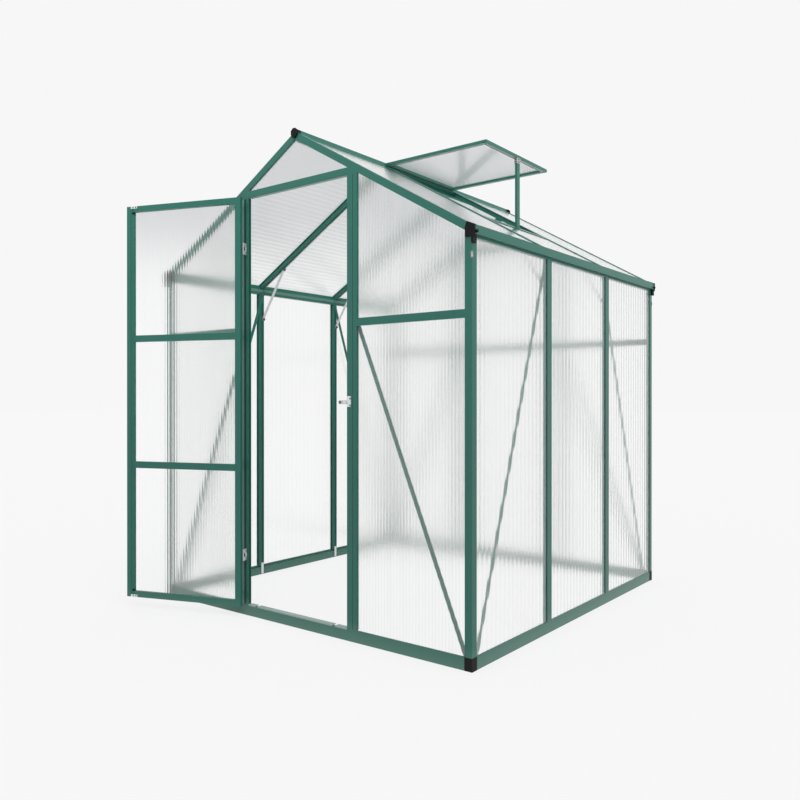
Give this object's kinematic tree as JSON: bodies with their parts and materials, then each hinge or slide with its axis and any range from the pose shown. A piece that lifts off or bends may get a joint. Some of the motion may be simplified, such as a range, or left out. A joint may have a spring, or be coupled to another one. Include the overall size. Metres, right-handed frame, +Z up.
{
  "type": "polycarbonate greenhouse",
  "caption": "Walk-in apex greenhouse with a green glazing-bar frame, clear twin-wall sheets, an open hinged door and a propped roof vent.",
  "frame": {"origin": "on the ground, at the middle of the front base rail's underside", "axes": "+Z up; the door gable faces -Y; +X is to the right of someone who faces the door, on the vent's side"},
  "size_m": [1.87, 2.0911, 2.178],
  "materials": {
    "green_frame": "satin powder coat",
    "twin_wall_sheet": "clear fluted",
    "black_cap": "moulded",
    "bright_metal": "zinc plated"
  },
  "bodies": {
    "house": {"base_rail_front": "green_frame", "base_rail_back": "green_frame", "base_rail_left": "green_frame", "base_rail_right": "green_frame", "foot_caps": "black_cap", "corner_posts": "green_frame", "wall_studs_left": "green_frame", "wall_studs_right": "green_frame", "eave_gutter_left": "green_frame", "eave_gutter_right": "green_frame", "eave_caps": "black_cap", "door_post_left": "green_frame", "door_post_right": "green_frame", "back_posts": "green_frame", "door_header": "green_frame", "back_header": "green_frame", "gable_rakes_front": "green_frame", "gable_rakes_back": "green_frame", "mid_rails_front": "green_frame", "mid_rails_back": "green_frame", "braces_front": "green_frame", "braces_back": "green_frame", "braces_left": "green_frame", "braces_right": "green_frame", "knee_straps": "bright_metal", "stud_clips": "bright_metal", "ridge_beam": "green_frame", "ridge_caps": "black_cap", "roof_bars_left": "green_frame", "roof_bars_right": "green_frame", "vent_sill": "green_frame", "vent_sash": "green_frame", "vent_pane": "twin_wall_sheet", "vent_stay": "green_frame", "vent_bracket": "bright_metal", "wall_sheets_left": "twin_wall_sheet", "wall_sheets_right": "twin_wall_sheet", "gable_sheets_front": "twin_wall_sheet", "gable_sheets_back": "twin_wall_sheet", "roof_sheets_left": "twin_wall_sheet", "roof_sheets_right": "twin_wall_sheet", "door_hinge_brackets": "bright_metal", "door_catch": "bright_metal"},
    "door": {"door_stiles": "green_frame", "door_rails": "green_frame", "door_panes": "twin_wall_sheet", "door_hinge_leaves": "bright_metal"}
  },
  "joints": [
    {"name": "door_swing", "type": "hinge", "parent": "house", "child": "door", "pos_m": [-0.3115, -0.037, 0], "axis": [0, 0, 1], "range_deg": [-10, 160]}
  ]
}
